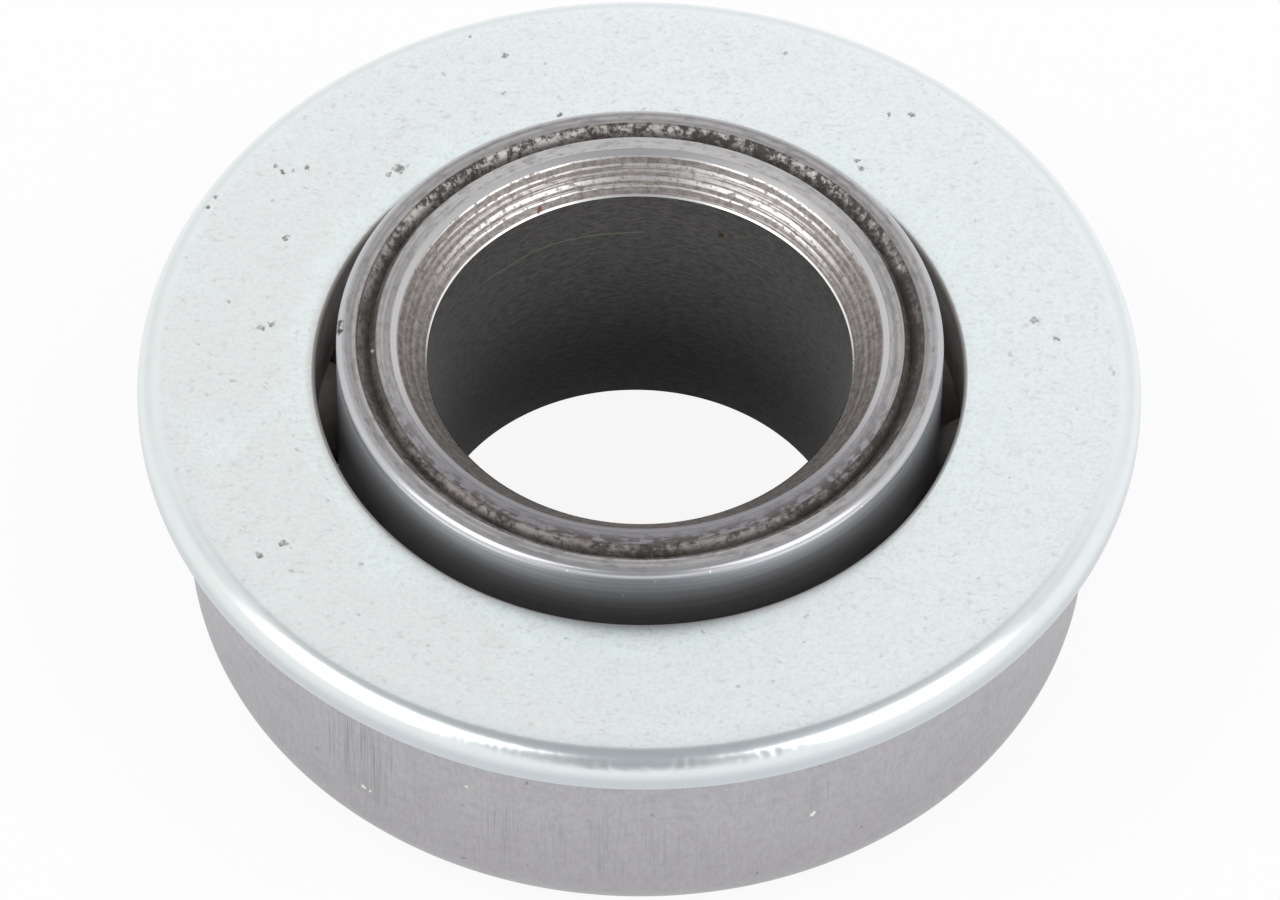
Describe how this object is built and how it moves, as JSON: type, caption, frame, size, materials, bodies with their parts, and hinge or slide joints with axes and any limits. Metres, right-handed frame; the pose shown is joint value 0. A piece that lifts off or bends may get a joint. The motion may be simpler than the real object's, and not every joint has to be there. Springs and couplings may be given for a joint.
{
  "type": "flanged wheel bearing",
  "caption": "Pressed-steel flanged wheel bearing: crimped shell, split outer race, loose ball row, turned inner race and bore sleeve that spins on an axle.",
  "frame": {"origin": "on the axle line, in the plane of the lower ends of the bore sleeve and inner race, which the bearing stands on", "axes": "+Z along the axle, towards the flange side"},
  "size_m": [0.0386, 0.0386, 0.0143],
  "materials": {
    "zinc_plate": "bright zinc plated sheet, satin, with small pits",
    "drawn_steel": "bare drawn sheet steel with fine vertical draw marks",
    "race_steel": "turned and polished hardened steel, dark in the bore chamfer",
    "turned_steel": "turned steel with concentric tool marks, dark smooth bore",
    "hidden_race_steel": "hardened steel under a film of grease",
    "ball_steel": "polished balls under a film of grease"
  },
  "bodies": {
    "outer_ring": {"bearing_cup": "drawn_steel", "flange_cover": "zinc_plate", "outer_race_lower": "hidden_race_steel", "outer_race_upper": "hidden_race_steel"},
    "inner_ring": {"inner_race": "race_steel", "bore_sleeve": "turned_steel"},
    "ball_row": {"ball_01": "ball_steel", "ball_02": "ball_steel", "ball_03": "ball_steel", "ball_04": "ball_steel", "ball_05": "ball_steel", "ball_06": "ball_steel", "ball_07": "ball_steel", "ball_08": "ball_steel", "ball_09": "ball_steel", "ball_10": "ball_steel", "ball_11": "ball_steel", "ball_12": "ball_steel", "ball_13": "ball_steel", "ball_14": "ball_steel", "ball_15": "ball_steel", "ball_16": "ball_steel", "ball_17": "ball_steel"}
  },
  "joints": [
    {"name": "inner_spin", "type": "hinge", "parent": "outer_ring", "child": "inner_ring", "pos_m": [0, 0, 0.0063], "axis": [0, 0, 1], "continuous": true},
    {"name": "ball_orbit", "type": "hinge", "parent": "outer_ring", "child": "ball_row", "pos_m": [0, 0, 0.0063], "axis": [0, 0, 1], "continuous": true}
  ],
  "couplings": [
    {"joint": "ball_orbit", "follows": "inner_spin", "ratio": 0.41082}
  ]
}
